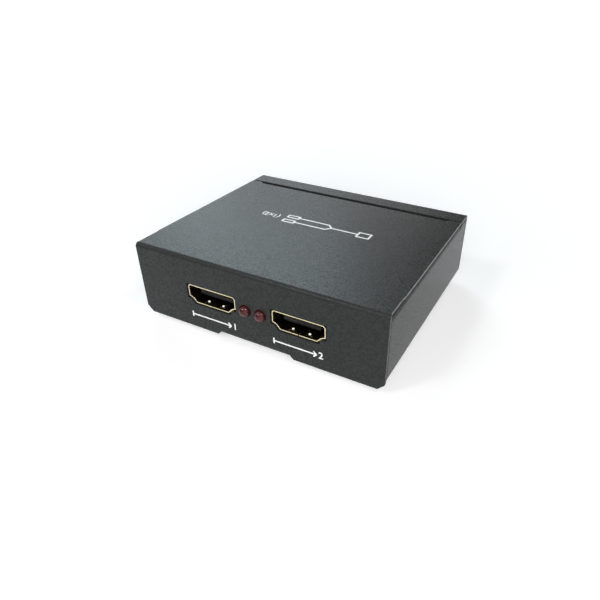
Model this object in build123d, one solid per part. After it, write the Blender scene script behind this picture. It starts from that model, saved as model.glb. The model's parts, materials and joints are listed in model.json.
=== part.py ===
from build123d import *
import os

# One-in, two-out video signal splitter in a folded steel case, in millimetres.
# X runs along the front panel, Y from the front panel to the rear panel, Z up.
# The feet stand on Z = 0 and the outer box is centred on the Z axis.

# Case
case_width = 71.0
case_depth = 60.2
headroom = 1.05  # between the power jack, the tallest piece inside, and the top plate
sheet = 1.0
cover_inner_bend = 0.2
tray_inner_bend = 0.5
seam = 0.15  # between two folded edges that meet
overrun = 2.0  # how far a cut runs past the faces it opens
fit_clear = 0.05  # between a piece and the hole or bore that holds it
hole_clear = 0.15  # round a leg in its board hole

# Cover: top plate, front panel and the flange under the tray
lip_drop = 0.4  # front panel's ends below the flange
lip_corner = 1.7
notch_width = 22.8
notch_slant = 0.9
notch_height = 0.9
flange_reach = 9.5
plate_inset = 0.2  # top plate's narrower front stretch, at each side
plate_inset_length = 8.0
plate_inset_slant = 0.8
rear_end_gap = 0.3  # top plate's rear corners to the strip
rear_gap = 1.6  # the rest of its rear edge to the strip
rear_end_width = 3.2
rear_slant = 1.2
tongue_width = 14.0
tongue_pitch = 34.0
tongue_reach = 4.0  # under the strip
tongue_clear = 0.05

# Tray: floor, side walls with top flanges, rear panel and the strip on top
side_flange = 4.0
strip_depth = 6.15
strip_wall_gap = 0.4  # side walls' top edge under the strip

# Feet and fasteners
foot_height = 2.6
foot_radius = 3.5
foot_inset = 7.0
cover_screw_pitch = 13.0
cover_screw_setback = 5.2  # behind the front face
cover_screw_radius = 1.25
cover_screw_head_radius = 2.3
cover_screw_head = 1.1
cover_screw_length = 4.0
cover_screw_play = 0.2
drive_width = 0.5
drive_span = 2.4
drive_depth = 0.6

# Circuit board on two standoffs
standoff_height = 3.7
standoff_flats = 5.0
board_thickness = 1.6
board_side_gap = 0.8
board_end_gap = 0.6
board_hole_radius = 1.6
board_hole_inset = 5.2  # from the board's sides
board_hole_clear = 1.2  # between a screw's head and the power jack's lug
board_screw_radius = 1.3
board_screw_head_radius = 2.6
board_screw_head = 1.4
board_screw_length = 4.4

# Video ports: nineteen-way receptacles
port_pitch = 25.3
front_middle_share = 0.0035  # middle of the front ports and lamps, of the case's width
port_recess = 0.3  # mouth behind the panel's outer face
in_port_place_share = -0.115  # of the case's width
opening_width = 14.0
opening_height = 4.55
opening_side = 2.95
opening_step_in = 1.05
opening_step_drop = 0.5
opening_slope_in = 1.0
opening_corner = 0.6
shell_wall = 0.3
shell_length = 11.6
shell_seam = 0.15
cutout_clear = 0.3
leg_width = 1.2
leg_front = 2.6
leg_back = 8.6
leg_below = 0.7  # past the board's underside
spring_offset = 2.3
spring_width = 1.1
spring_tip = 0.7
spring_root = 5.4
spring_slit = 0.25
spring_ridge_radius = 0.6
spring_ridge_height = 0.35
spring_ridge_width = 0.9
spring_ridge_y = 1.55
insulator_root = 8.0
insulator_back_gap = 0.3
tongue_slab_width = 10.2
tongue_slab_thickness = 1.2
tongue_slab_top = 0.15  # above the opening's centre
tongue_slab_front = 1.9
tongue_slab_edge = 0.4
contact_pitch = 1.0
top_contacts = 10
bottom_contacts = 9
contact_width = 0.3
contact_thickness = 0.15
contact_front = 2.6
contact_tail = 0.35

# Power jack
jack_place_share = 0.28  # of the case's width
jack_width = 9.0
jack_length = 14.4
jack_height = 11.0
jack_axis_height = 6.5
jack_edge = 2.2
jack_bore_radius = 3.15
jack_bore_depth = 10.0
jack_hole_radius = 3.9
jack_pin_radius = 1.0
jack_pin_setback = 0.8
jack_lug_width = 2.2
jack_lug_thickness = 0.5
jack_spring_width = 2.4
jack_spring_thickness = 0.3
jack_spring_lift = 0.25
jack_spring_front = 3.0
jack_spring_leg = 9.2

# Indicator lamps
lamp_pitch = 4.5
lamp_radius = 1.5
lamp_centre_reach = 0.1  # dome's centre in front of the panel
lamp_length = 4.3  # dome's centre to the lens's back
lamp_hole_clear = 0.1
lead_width = 0.5
lead_pitch = 2.54
lead_run = 1.5

# Parts on the board
chip_size = 10.0
chip_height = 1.4
chip_stand = 0.15
chip_edge = 0.3
chip_leads_per_side = 8
chip_lead_pitch = 1.1
chip_lead_width = 0.4
chip_lead_thickness = 0.2
chip_lead_reach = 1.0
memory_size = (4.9, 3.9, 1.5)
memory_setback = 4.6  # behind a receptacle's shell
crystal_length = 11.4
crystal_width = 4.7
crystal_height = 3.5
regulator_size = (6.5, 3.5, 1.7)
regulator_tab = (3.0, 1.7, 0.4)
regulator_pitch = 9.0
inductor_size = 6.0
inductor_height = 3.0
inductor_corner = 1.0
capacitor_radius = 2.5
capacitor_height = 5.4
capacitor_base = 5.3
capacitor_base_height = 0.9
capacitor_pitch = 7.0
resistor_size = (1.6, 0.8, 0.5)
resistor_rows = 3
resistor_columns = 4
resistor_pitch = 2.6
chip_place_shares = (0.02, -0.04)
crystal_place_shares = (-0.28, -0.02)
regulator_place_shares = (0.33, -0.04)
inductor_place_shares = (0.12, 0.26)
capacitor_place_shares = (-0.38, 0.32)
resistor_place_shares = (-0.3, 0.05)

# Derived levels and places
cover_bend = cover_inner_bend + sheet
tray_bend = tray_inner_bend + sheet
lamp_reach = lamp_centre_reach + lamp_radius
y_front = -(case_depth - lamp_reach) / 2
y_rear = y_front + case_depth
z_floor = foot_height
z_flange = z_floor - sheet
z_lip = z_flange - lip_drop
y_inside = y_front + sheet + seam
y_strip = y_rear - strip_depth
x_side = case_width / 2
front_middle = front_middle_share * case_width
in_port_x = in_port_place_share * case_width
jack_x = jack_place_share * case_width
z_board = z_floor + sheet + standoff_height
z_board_top = z_board + board_thickness
z_plate = z_board_top + jack_height + headroom
z_top = z_plate + sheet
z_port = z_board_top + shell_wall + opening_height / 2
y_board_front = y_front + sheet + board_end_gap
y_board_rear = y_rear - sheet - board_end_gap
board_width = case_width - 2 * (sheet + board_side_gap)
board_depth = y_board_rear - y_board_front
board_middle = (y_board_front + y_board_rear) / 2
leg_end = z_port - z_board + leg_below
out_port_1 = Pos(front_middle - port_pitch / 2, y_front + port_recess, z_port)
out_port_2 = Pos(front_middle + port_pitch / 2, y_front + port_recess, z_port)
in_port = Pos(in_port_x, y_rear - port_recess, z_port) * Rot(0, 0, 180)
port_places = {"out_port_1": out_port_1, "out_port_2": out_port_2, "in_port": in_port}
jack_place = Pos(jack_x, y_rear - sheet - seam, z_board_top)
lamp_xs = (front_middle - lamp_pitch / 2, front_middle + lamp_pitch / 2)
y_lamp_back = y_front - lamp_centre_reach + lamp_length


def slab(x, y, z):
    """A box from its low and high limits along each axis."""
    size = [high - low for low, high in (x, y, z)]
    middle = [(high + low) / 2 for low, high in (x, y, z)]
    return Pos(*middle) * Box(*size)


def upright(radius, z, at=(0, 0)):
    """A cylinder along Z between two heights."""
    low, high = z
    return Pos(at[0], at[1], (low + high) / 2) * Cylinder(radius, high - low)


def level(radius, y, at=(0, 0)):
    """A cylinder along Y between two depths, at (x, z)."""
    low, high = y
    return Pos(at[0], (low + high) / 2, at[1]) * Rot(90, 0, 0) * Cylinder(radius, high - low)


def outline(points):
    return make_face(Polyline(*points, close=True))


def folded(corners, bends, thickness=sheet):
    """Section of a folded strip, from the corners of its outer side, its metal to the left."""
    line = FilletPolyline(*corners, radius=bends)
    return make_face(offset(line, thickness, side=Side.LEFT))


def along_x(section, x):
    """A section drawn in (Y, Z), extruded between two X limits."""
    low, high = x
    return extrude(Plane.YZ.offset(low) * section, high - low)


def along_y(section, y):
    """A section drawn in (X, Z), extruded between two Y limits."""
    low, high = y
    return extrude(Plane.XZ.offset(-high) * section, high - low)


def both_sides(shape):
    return shape + mirror(shape, about=Plane.YZ)


def save(name, shape):
    solids = ShapeList(shape.solids())
    export_step(Compound(children=list(solids)) if len(solids) > 1 else solids[0], f"parts/{name}.step")
    return shape


# Outlines shared by the receptacles and the holes for them

def opening_outline():
    """The receptacle's opening, centred, with its stepped and sloped lower corners."""
    half = opening_width / 2
    top = opening_height / 2
    step = half - opening_step_in
    right = [
        (half, top),
        (half, top - opening_side),
        (step, top - opening_side - opening_step_drop),
        (step - opening_slope_in, -top),
    ]
    left = [(-x, z) for x, z in reversed(right)]
    face = outline(right + left)
    return fillet(face.vertices().group_by(Axis.Y)[-1], opening_corner)


def port_cutout():
    """Panel hole: a rectangle round the wide part, a narrower one round the sloped part."""
    wide = opening_width / 2 + shell_wall + cutout_clear
    top = opening_height / 2 + shell_wall + cutout_clear
    step_x = opening_width / 2 - opening_step_in + shell_wall + cutout_clear
    step_z = opening_height / 2 - opening_side - opening_step_drop - shell_wall
    foot_x = step_x - opening_slope_in
    right = [(wide, top), (wide, step_z), (step_x, step_z), (foot_x, -top)]
    left = [(-x, z) for x, z in reversed(right)]
    return outline(right + left)


# Cover

def cover_plate():
    """Top plate and front panel, one bend between them."""
    corners = [(y_strip - rear_end_gap, z_top), (y_front, z_top), (y_front, z_lip)]
    plate = along_x(folded(corners, cover_bend), (-x_side, x_side))
    foot_edges = plate.edges().filter_by(Axis.Y).group_by(Axis.Z)[0]
    return chamfer(foot_edges, lip_corner)


def plate_edge_cut():
    """What the top plate's side edge lacks behind the front bend."""
    far = x_side + overrun
    line = x_side - plate_inset
    start = y_front + sheet
    end = y_front + plate_inset_length
    points = [(far, start), (line, start), (line, end), (x_side, end + plate_inset_slant), (far, end)]
    return both_sides(Pos(0, 0, z_plate - seam) * extrude(outline(points), sheet + overrun))


def rear_edge_cut():
    """The top plate's rear edge is cut back between its two corners, with slanted ends."""
    half = x_side - rear_end_width
    line = y_strip - rear_gap
    far = y_strip + overrun
    points = [(half, far), (half, y_strip - rear_end_gap), (half - rear_slant, line)]
    points += [(-x, y) for x, y in reversed(points)]
    return Pos(0, 0, z_plate - overrun) * extrude(outline(points), sheet + 2 * overrun)


def rear_tongues():
    """Two joggled tongues that hook under the strip."""
    start = y_strip - rear_gap
    joggle = sheet + tongue_clear
    under = z_top - joggle
    end = y_strip + tongue_reach
    bottom = under - sheet
    steep = rear_gap - rear_end_gap
    points = [
        (start - sheet, z_top),
        (start, z_top),
        (start + steep, under),
        (end, under),
        (end, bottom),
        (start + steep - sheet / 2, bottom),
        (start - sheet / 2, z_plate),
        (start - sheet, z_plate),
    ]
    half = tongue_width / 2
    tongue = along_x(outline(points), (-half, half))
    return both_sides(Pos(tongue_pitch / 2, 0, 0) * tongue)


def notch_cut():
    """The front panel's lower edge steps up round the flange, with slanted ends."""
    wide = notch_width / 2
    narrow = wide - notch_slant
    top = z_flange + cover_bend
    right = [(wide, z_lip), (narrow, z_lip + notch_height), (narrow, top)]
    left = [(-x, z) for x, z in reversed(right)]
    foot = z_lip - overrun
    points = [(wide, foot)] + right + left + [(-wide, foot)]
    return along_y(outline(points), (y_front - overrun, y_front + sheet + overrun))


def cover_flange():
    """Flange from the front panel's lower edge, under the tray's floor."""
    half = notch_width / 2 - notch_slant - seam
    corners = [
        (y_front, z_flange + cover_bend + sheet),
        (y_front, z_flange),
        (y_front + flange_reach, z_flange),
    ]
    return along_x(folded(corners, cover_bend), (-half, half))


def cover_screw_places():
    return [(side * cover_screw_pitch / 2, y_front + cover_screw_setback) for side in (-1, 1)]


def cover():
    body = cover_plate() - plate_edge_cut() - rear_edge_cut() - notch_cut()
    body += rear_tongues() + cover_flange()
    panel = (y_front - overrun, y_front + sheet + overrun)
    for place in (out_port_1, out_port_2):
        hole = Pos(place.position.X, 0, z_port) * along_y(port_cutout(), panel)
        body -= hole
    for x in lamp_xs:
        body -= level(lamp_radius + lamp_hole_clear, panel, (x, z_port))
    for at in cover_screw_places():
        z = (z_flange - sheet / 2, z_floor + sheet / 2)
        body -= upright(cover_screw_radius + cover_screw_play, z, at)
    return body


# Tray

def tray_channel():
    """Floor and side walls with their top flanges, then plain walls under the strip."""
    inner = x_side - side_flange
    corners = [
        (-inner, z_plate),
        (-x_side, z_plate),
        (-x_side, z_floor),
        (x_side, z_floor),
        (x_side, z_plate),
        (inner, z_plate),
    ]
    flanged = along_y(folded(corners, tray_bend), (y_inside, y_strip - seam))
    wall_top = z_plate - strip_wall_gap
    low = [(-x_side, wall_top), (-x_side, z_floor), (x_side, z_floor), (x_side, wall_top)]
    plain = along_y(folded(low, tray_bend), (y_strip - seam, y_rear - sheet - seam))
    return flanged + plain


def tray_rear():
    """Rear panel with the strip on top and rounded lower corners."""
    corners = [
        (y_strip, z_floor),
        (y_rear, z_floor),
        (y_rear, z_top),
        (y_strip, z_top),
    ]
    panel = along_x(folded(corners, (tray_bend, cover_bend)), (-x_side, x_side))
    blank = slab((-x_side, x_side), (y_strip, y_rear), (z_floor, z_top))
    foot_edges = blank.edges().filter_by(Axis.Y).group_by(Axis.Z)[0]
    panel &= fillet(foot_edges, tray_bend)
    spare = slab(
        (x_side - tray_bend, x_side + overrun),
        (y_strip - overrun, y_rear - sheet),
        (z_floor - overrun, z_plate - seam),
    )
    return panel - both_sides(spare)


def base_tray():
    body = tray_channel() + tray_rear()
    for at in cover_screw_places():
        body -= upright(cover_screw_radius + fit_clear, (z_floor - overrun, z_floor + sheet + overrun), at)
    panel = (y_rear - sheet - overrun, y_rear + overrun)
    body -= Pos(in_port_x, 0, z_port) * along_y(port_cutout(), panel)
    body -= level(jack_hole_radius, panel, (jack_x, z_board_top + jack_axis_height))
    return body


# Feet, screws and standoffs

def rubber_feet():
    foot = upright(foot_radius, (0, foot_height))
    x = x_side - foot_inset
    ys = (y_front + foot_inset, y_rear - foot_inset)
    return [Pos(side * x, y, 0) * foot for side in (-1, 1) for y in ys]


def screw(radius, length, head_radius, head):
    """A flat-headed screw, head up, its seat at Z = 0."""
    return upright(head_radius, (0, head)) + upright(radius, (-length, 0))


def cross_recess(head):
    half = drive_span / 2
    thin = drive_width / 2
    deep = (head - drive_depth, head + overrun)
    return slab((-half, half), (-thin, thin), deep) + slab((-thin, thin), (-half, half), deep)


def cover_screws():
    one = screw(cover_screw_radius, cover_screw_length, cover_screw_head_radius, cover_screw_head)
    one -= cross_recess(cover_screw_head)
    return [Pos(x, y, z_flange) * Rot(180, 0, 0) * one for x, y in cover_screw_places()]


def board_hole_places():
    """Two holes on a diagonal."""
    x = board_width / 2 - board_hole_inset
    jack_back = jack_place.position.Y - jack_length - jack_lug_thickness
    y = jack_back - board_hole_clear - board_screw_head_radius - board_middle
    return [(side * x, board_middle + side * y) for side in (-1, 1)]


def board_screws():
    one = screw(board_screw_radius, board_screw_length, board_screw_head_radius, board_screw_head)
    return [Pos(x, y, z_board_top) * one for x, y in board_hole_places()]


def board_standoffs():
    hexagon = RegularPolygon(standoff_flats / 2, 6, major_radius=False)
    body = Pos(0, 0, z_floor + sheet) * extrude(hexagon, standoff_height)
    bore = upright(board_screw_radius + fit_clear, (z_floor + sheet, z_board + overrun))
    return [Pos(x, y, 0) * (body - bore) for x, y in board_hole_places()]


# Circuit board

def circuit_board():
    x = board_width / 2
    plate = slab((-x, x), (y_board_front, y_board_rear), (z_board, z_board_top))
    depth = (z_board - overrun, z_board_top + overrun)
    for at in board_hole_places():
        plate -= upright(board_hole_radius, depth, at)
    for place in port_places.values():
        plate -= place * port_legs(hole_clear)
    for x, y in lead_places():
        half = lead_width / 2 + hole_clear
        plate -= slab((x - half, x + half), (y - half, y + half), depth)
    return plate - jack_place * (jack_lug(hole_clear) + jack_spring_leg_bar(hole_clear))


# Receptacle, drawn with its mouth at Y = 0 facing -Y and its opening centred on X = Z = 0

def port_legs(grow=0):
    """Four solder legs beside the shell, grown for their board holes."""
    near = opening_width / 2 - grow
    far = opening_width / 2 + shell_wall + grow
    legs = []
    for y in (leg_front, leg_back):
        reach = (y - leg_width / 2 - grow, y + leg_width / 2 + grow)
        legs.append(slab((near, far), reach, (-leg_end - grow, 0)))
    return both_sides(legs[0] + legs[1])


def spring_slits():
    """U-shaped slits that free the spring fingers in the top and bottom walls."""
    half = spring_width / 2
    wall = (-opening_height / 2 - overrun, opening_height / 2 + overrun)
    slits = slab((-half, half), (spring_tip, spring_tip + spring_slit), wall)
    for side in (-1, 1):
        edge = sorted((side * half, side * (half + spring_slit)))
        slits += slab(edge, (spring_tip, spring_root), wall)
    return both_sides(Pos(spring_offset, 0, 0) * slits)


def spring_ridges():
    """Rounded ridges across the fingers, proud of the walls' inner faces."""
    ridge = Rot(0, 90, 0) * Cylinder(spring_ridge_radius, spring_ridge_width)
    axis_z = opening_height / 2 + spring_ridge_radius - spring_ridge_height
    ridges = Pos(spring_offset, spring_ridge_y, axis_z) * ridge
    ridges += Pos(spring_offset, spring_ridge_y, -axis_z) * ridge
    inside = along_y(opening_outline(), (0, shell_length))
    return both_sides(ridges) & inside


def port_shell():
    outer = offset(opening_outline(), shell_wall, kind=Kind.INTERSECTION)
    body = along_y(outer, (0, shell_length)) - along_y(opening_outline(), (-overrun, shell_length + overrun))
    body -= spring_slits()
    half = shell_seam / 2
    body -= slab((-half, half), (-overrun, shell_length + overrun), (-opening_height, 0))
    return body + spring_ridges() + port_legs()


def port_contacts():
    """Ten contacts above the tongue and nine below, each bent down to the board behind it."""
    back = shell_length - insulator_back_gap + contact_tail
    board = -opening_height / 2 - shell_wall
    half = contact_width / 2
    top = tongue_slab_top + contact_thickness
    bottom = tongue_slab_top - tongue_slab_thickness
    contacts = []
    for count, level_z in ((top_contacts, top), (bottom_contacts, bottom)):
        points = [
            (contact_front, level_z),
            (back + contact_thickness, level_z),
            (back + contact_thickness, board),
            (back, board),
            (back, level_z - contact_thickness),
            (contact_front, level_z - contact_thickness),
        ]
        for i in range(count):
            x = (i - (count - 1) / 2) * contact_pitch
            contacts.append(along_x(outline(points), (x - half, x + half)))
    return contacts


def port_insulator(contacts):
    """Moulded block that closes the shell's back, with the tongue that carries the contacts."""
    core = offset(opening_outline(), -fit_clear)
    body = along_y(core, (insulator_root, shell_length - insulator_back_gap))
    half = tongue_slab_width / 2
    tongue = slab(
        (-half, half),
        (tongue_slab_front, insulator_root),
        (tongue_slab_top - tongue_slab_thickness, tongue_slab_top),
    )
    tongue = chamfer(tongue.faces().sort_by(Axis.Y)[0].edges().filter_by(Axis.X), tongue_slab_edge)
    body += tongue
    for contact in contacts:
        body -= contact
    return body


# Power jack, drawn with its mouth at Y = 0 facing +Y and standing on Z = 0

def jack_lug(grow=0):
    """Flat lug of the centre pin, down behind the body and through the board."""
    half = jack_lug_width / 2 + grow
    back = (-jack_length - jack_lug_thickness - grow, -jack_length + grow)
    return slab((-half, half), back, (-board_thickness - leg_below - grow, jack_axis_height))


def jack_spring_leg_bar(grow=0):
    """Leg of the side spring, down through the body's floor and the board."""
    half = jack_spring_width / 2 + grow
    y = (-jack_spring_leg - jack_spring_thickness - grow, -jack_spring_leg + grow)
    top = jack_axis_height - jack_bore_radius + jack_spring_lift
    return slab((-half, half), y, (-board_thickness - leg_below - grow, top))


def jack_body():
    half = jack_width / 2
    body = slab((-half, half), (-jack_length, 0), (0, jack_height))
    top_edges = body.edges().filter_by(Axis.Y).group_by(Axis.Z)[-1]
    body = fillet(top_edges, jack_edge)
    body -= level(jack_bore_radius, (-jack_bore_depth, overrun), (0, jack_axis_height))
    body -= level(jack_pin_radius + fit_clear, (-jack_length - overrun, 0), (0, jack_axis_height))
    return body - jack_spring_leg_bar(fit_clear)


def jack_pin():
    pin = level(jack_pin_radius, (-jack_length, -jack_pin_setback), (0, jack_axis_height))
    return pin + jack_lug()


def jack_spring():
    half = jack_spring_width / 2
    low = jack_axis_height - jack_bore_radius + jack_spring_lift
    leaf = slab(
        (-half, half),
        (-jack_spring_leg - jack_spring_thickness, -jack_spring_front),
        (low, low + jack_spring_thickness),
    )
    return leaf + jack_spring_leg_bar()


# Lamps

def lamp(x):
    """Lens with a round dome in front."""
    centre = y_front - lamp_centre_reach
    body = level(lamp_radius, (centre, y_lamp_back), (x, z_port))
    dome = Pos(x, centre, z_port) * Sphere(lamp_radius)
    return body + (dome - slab((-case_width, case_width), (centre, y_rear), (0, z_top)))


def lead_places():
    y = y_lamp_back + lead_run
    return [(x + side * lead_pitch / 2, y) for x in lamp_xs for side in (-1, 1)]


def lamp_leads():
    """Square wires out of the lamps' backs, bent down into the board."""
    leads = []
    half = lead_width / 2
    for x, y in lead_places():
        points = [
            (y + half, z_board - leg_below),
            (y + half, z_port + half),
            (y_lamp_back, z_port + half),
            (y_lamp_back, z_port - half),
            (y - half, z_port - half),
            (y - half, z_board - leg_below),
        ]
        leads.append(along_x(outline(points), (x - half, x + half)))
    return leads


# Parts on the board

def on_board(shares, shape):
    """Stands a shape on the board, its place given as shares of the board's size."""
    x_share, y_share = shares
    return Pos(x_share * board_width, board_middle + y_share * board_depth, z_board_top) * shape


def standing_box(size):
    x, y, z = size
    return Pos(0, 0, z / 2) * Box(x, y, z)


def splitter_chip():
    body = Pos(0, 0, chip_stand) * standing_box((chip_size, chip_size, chip_height))
    body = chamfer(body.faces().sort_by(Axis.Z)[-1].edges(), chip_edge)
    return on_board(chip_place_shares, body)


def splitter_chip_leads():
    """Leads bent down to the board on the four sides of the package."""
    edge = chip_size / 2
    high = chip_stand + chip_height / 2
    end = edge + chip_lead_reach
    heel = end - chip_lead_thickness
    points = [
        (edge, high),
        (end, high),
        (end, 0),
        (heel, 0),
        (heel, high - chip_lead_thickness),
        (edge, high - chip_lead_thickness),
    ]
    half = chip_lead_width / 2
    leads = []
    for i in range(chip_leads_per_side):
        x = (i - (chip_leads_per_side - 1) / 2) * chip_lead_pitch
        lead = along_x(outline(points), (x - half, x + half))
        leads += [Rot(0, 0, turn) * lead for turn in (0, 90, 180, 270)]
    return [on_board(chip_place_shares, lead) for lead in leads]


def memory_chips():
    """One small memory chip behind each receptacle."""
    chips = []
    for place in port_places.values():
        x, y = place.position.X, place.position.Y
        inwards = 1 if y < 0 else -1
        at = y + inwards * (shell_length + memory_setback)
        chips.append(Pos(x, at, z_board_top) * standing_box(memory_size))
    return chips


def clock_crystal():
    """Oblong metal can."""
    return on_board(crystal_place_shares, extrude(SlotOverall(crystal_length, crystal_width), crystal_height))


def voltage_regulators():
    """Two small power packages, each with a wide tab."""
    tab_x, tab_y, tab_z = regulator_tab
    body = standing_box(regulator_size)
    body += Pos(0, (regulator_size[1] + tab_y) / 2, 0) * standing_box((tab_x, tab_y, tab_z))
    half = regulator_pitch / 2
    return [on_board(regulator_place_shares, Pos(0, y, 0) * body) for y in (-half, half)]


def power_inductor():
    block = standing_box((inductor_size, inductor_size, inductor_height))
    return on_board(inductor_place_shares, chamfer(block.edges().filter_by(Axis.Z), inductor_corner))


def storage_capacitors():
    """Two aluminium cans, each on its square base."""
    can = upright(capacitor_radius, (0, capacitor_height))
    body = can + standing_box((capacitor_base, capacitor_base, capacitor_base_height))
    half = capacitor_pitch / 2
    return [on_board(capacitor_place_shares, Pos(0, y, 0) * body) for y in (-half, half)]


def chip_resistors():
    """Rows of small chip resistors beside the main chip."""
    parts = []
    for row in range(resistor_rows):
        for column in range(resistor_columns):
            place = Pos(row * resistor_pitch, column * resistor_pitch / 2, 0)
            parts.append(on_board(resistor_place_shares, place * standing_box(resistor_size)))
    return parts


def group(shapes):
    return Compound(children=[shape.solid() for shape in shapes])


def build():
    save("cover", cover())
    save("base_tray", base_tray())
    save("rubber_feet", group(rubber_feet()))
    save("cover_screws", group(cover_screws()))
    save("board_screws", group(board_screws()))
    save("board_standoffs", group(board_standoffs()))
    save("circuit_board", circuit_board())
    contacts = port_contacts()
    shell = port_shell()
    insulator = port_insulator(contacts)
    for name, place in port_places.items():
        save(f"{name}_shell", place * shell)
        save(f"{name}_insulator", place * insulator)
        save(f"{name}_contacts", group([place * contact for contact in contacts]))
    save("power_jack_body", jack_place * jack_body())
    save("power_jack_pin", jack_place * jack_pin())
    save("power_jack_spring", jack_place * jack_spring())
    for number, x in enumerate(lamp_xs, start=1):
        save(f"lamp_{number}", lamp(x))
    save("lamp_leads", group(lamp_leads()))
    save("splitter_chip", splitter_chip())
    save("splitter_chip_leads", group(splitter_chip_leads()))
    save("memory_chips", group(memory_chips()))
    save("clock_crystal", clock_crystal())
    save("voltage_regulators", group(voltage_regulators()))
    save("power_inductor", power_inductor())
    save("storage_capacitors", group(storage_capacitors()))
    save("chip_resistors", group(chip_resistors()))


os.makedirs("parts", exist_ok=True)
build()
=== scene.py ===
import json
import math
import bpy
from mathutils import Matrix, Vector


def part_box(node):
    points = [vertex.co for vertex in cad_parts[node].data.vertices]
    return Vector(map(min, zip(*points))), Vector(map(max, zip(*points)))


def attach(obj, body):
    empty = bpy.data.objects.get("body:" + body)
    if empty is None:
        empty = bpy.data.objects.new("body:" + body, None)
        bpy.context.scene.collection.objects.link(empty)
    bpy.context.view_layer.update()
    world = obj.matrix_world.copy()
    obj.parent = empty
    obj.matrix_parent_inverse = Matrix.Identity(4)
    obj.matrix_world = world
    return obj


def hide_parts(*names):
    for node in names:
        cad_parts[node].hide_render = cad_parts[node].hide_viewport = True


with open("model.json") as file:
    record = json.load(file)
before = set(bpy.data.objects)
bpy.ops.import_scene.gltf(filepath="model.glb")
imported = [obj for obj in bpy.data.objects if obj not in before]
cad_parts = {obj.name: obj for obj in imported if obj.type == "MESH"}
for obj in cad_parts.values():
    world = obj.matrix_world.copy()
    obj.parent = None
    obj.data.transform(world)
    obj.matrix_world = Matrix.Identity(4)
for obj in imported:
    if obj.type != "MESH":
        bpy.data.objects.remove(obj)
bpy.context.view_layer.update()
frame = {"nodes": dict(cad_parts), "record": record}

nodes = frame["nodes"]
mm = 0.001
flatTurn = math.radians(90)
sharpAngle = math.radians(28)  # edges bent more than this get rounded
print("frame loaded:", len(nodes), "nodes")


# Mesh helpers

def deselectAll():
    if bpy.context.object and bpy.context.object.mode != "OBJECT":
        bpy.ops.object.mode_set(mode="OBJECT")
    bpy.ops.object.select_all(action="DESELECT")


def pickOnly(piece):
    deselectAll()
    piece.select_set(True)
    bpy.context.view_layer.objects.active = piece


def startEdit():
    bpy.ops.object.mode_set(mode="EDIT")


def endEdit():
    bpy.ops.object.mode_set(mode="OBJECT")


def editAll(piece):
    pickOnly(piece)
    startEdit()
    bpy.ops.mesh.select_all(action="SELECT")


def clearSelection(piece, kind):  # ready for faces, edges or vertices to be picked in code
    pickOnly(piece)
    startEdit()
    bpy.ops.mesh.select_all(action="DESELECT")
    bpy.ops.mesh.select_mode(type=kind)
    endEdit()


def editFaces(piece, test):  # edit mode, with only the faces whose centre and normal pass the test
    clearSelection(piece, "FACE")
    for face in piece.data.polygons:
        face.select = test(face.center, face.normal)
    startEdit()


def editEdges(piece, test):  # edit mode, with only the edges whose middle and faces' normals pass the test
    normals = {}
    for face in piece.data.polygons:
        for key in face.edge_keys:
            normals.setdefault(key, []).append(face.normal.copy())
    clearSelection(piece, "EDGE")
    for edge in piece.data.edges:
        start, end = (piece.data.vertices[index].co for index in edge.vertices)
        edge.select = test((start + end) / 2, normals.get(edge.key, []))
    startEdit()


def endOutwards():  # ends edit mode with every face turned outwards
    bpy.ops.mesh.select_all(action="SELECT")
    bpy.ops.mesh.normals_make_consistent(inside=False)
    endEdit()


def cleanCopy(nodeName, pieceName):  # a node's mesh as a designer would get it: merged, flat faces whole
    mesh = nodes[nodeName].data.copy()
    mesh.name = pieceName
    mesh.materials.clear()
    piece = bpy.data.objects.new(pieceName, mesh)
    bpy.context.scene.collection.objects.link(piece)
    editAll(piece)
    bpy.ops.mesh.customdata_custom_splitnormals_clear()
    bpy.ops.mesh.remove_doubles(threshold=1e-6)
    bpy.ops.mesh.dissolve_limited(angle_limit=math.radians(0.5))
    endEdit()
    return piece


def roundEdges(piece, width, segments=2, test=None):  # bevels the sharp edges whose middle passes the test
    def isPicked(middle, normals):
        sharp = len(normals) == 2 and normals[0].angle(normals[1]) > sharpAngle
        return sharp and (test is None or test(middle))

    editEdges(piece, isPicked)
    bpy.ops.mesh.bevel(
        offset=width, segments=segments, affect="EDGES", clamp_overlap=False, miter_outer="ARC"
    )
    endEdit()


def smoothShade(piece, angle=40, weighted=True):  # weighted: large flat faces stay flat by rounded edges
    pickOnly(piece)
    bpy.ops.object.shade_smooth_by_angle(angle=math.radians(angle))
    if weighted:
        modifier = piece.modifiers.new("WeightedNormal", "WEIGHTED_NORMAL")
        modifier.keep_sharp = True
        modifier.weight = 100
        bpy.ops.object.modifier_apply(modifier=modifier.name)


def turned(name, profile, vertices=48):  # a lathe shape up Z from (height, radius) pairs
    deselectAll()
    height, radius = profile[0]
    bpy.ops.mesh.primitive_circle_add(
        vertices=vertices, radius=radius, fill_type="NGON", location=(0, 0, height)
    )
    piece = bpy.context.object
    piece.name = piece.data.name = name
    bpy.ops.object.transform_apply(location=True, rotation=True, scale=True)
    editAll(piece)
    for nextHeight, nextRadius in profile[1:]:
        bpy.ops.mesh.extrude_region_move(TRANSFORM_OT_translate={"value": (0, 0, nextHeight - height)})
        share = nextRadius / radius
        bpy.ops.transform.resize(value=(share, share, 1), center_override=(0, 0, nextHeight))
        height, radius = nextHeight, nextRadius
    endOutwards()
    return piece


def placed(piece, at, turn=(0, 0, 0)):  # turned and moved, then written into the mesh
    pickOnly(piece)
    piece.rotation_euler = turn
    piece.location = at
    bpy.ops.object.transform_apply(location=True, rotation=True, scale=True)
    return piece


def copied(piece, name):
    other = bpy.data.objects.new(name, piece.data.copy())
    other.data.name = name
    bpy.context.scene.collection.objects.link(other)
    return other


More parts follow.
